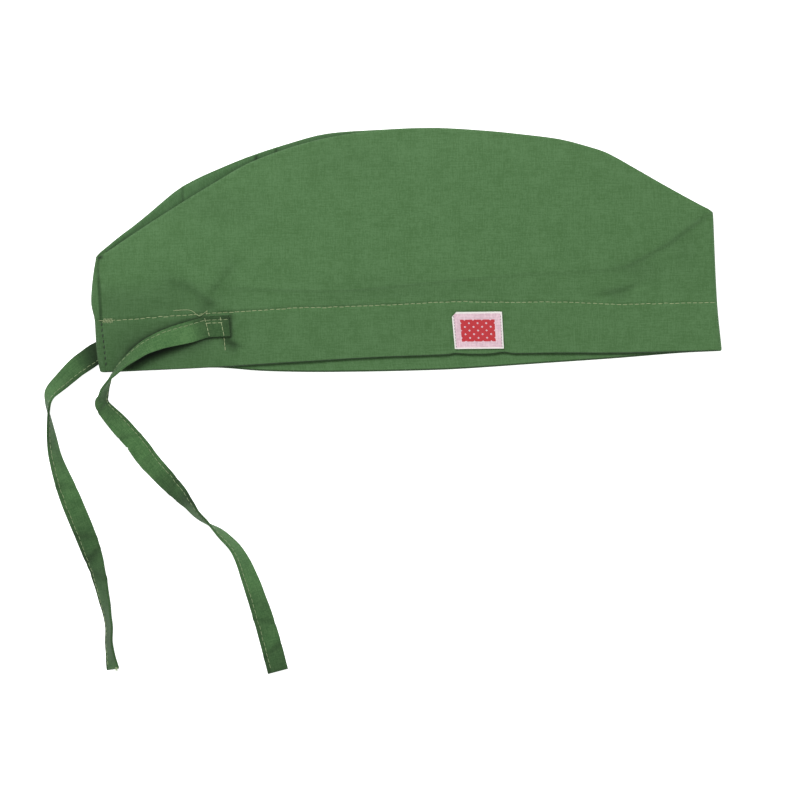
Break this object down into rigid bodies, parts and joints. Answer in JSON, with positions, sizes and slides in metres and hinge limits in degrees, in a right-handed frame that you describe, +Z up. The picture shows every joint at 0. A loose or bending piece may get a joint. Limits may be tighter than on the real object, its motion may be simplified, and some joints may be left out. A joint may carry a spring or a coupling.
{
  "type": "scrub cap",
  "caption": "Cloth scrub cap folded flat on its side, with a tucked crown, a turned-up hem, two loose flat ties and a small woven label",
  "frame": {"origin": "on the table under the middle of the folded cap, ties left out", "axes": "+X from the back fold to the front fold, +Y from the hem to the crown, +Z up from the table"},
  "size_m": [0.3244, 0.262, 0.0196],
  "materials": {
    "green_cloth": "matte plain weave",
    "green_tie": "matte plain weave",
    "label_weave": "matte satin weave"
  },
  "bodies": {
    "root": {"side_panel": "green_cloth", "crown": "green_cloth", "tie_near": "green_tie", "tie_far": "green_tie", "label": "label_weave"}
  },
  "joints": []
}
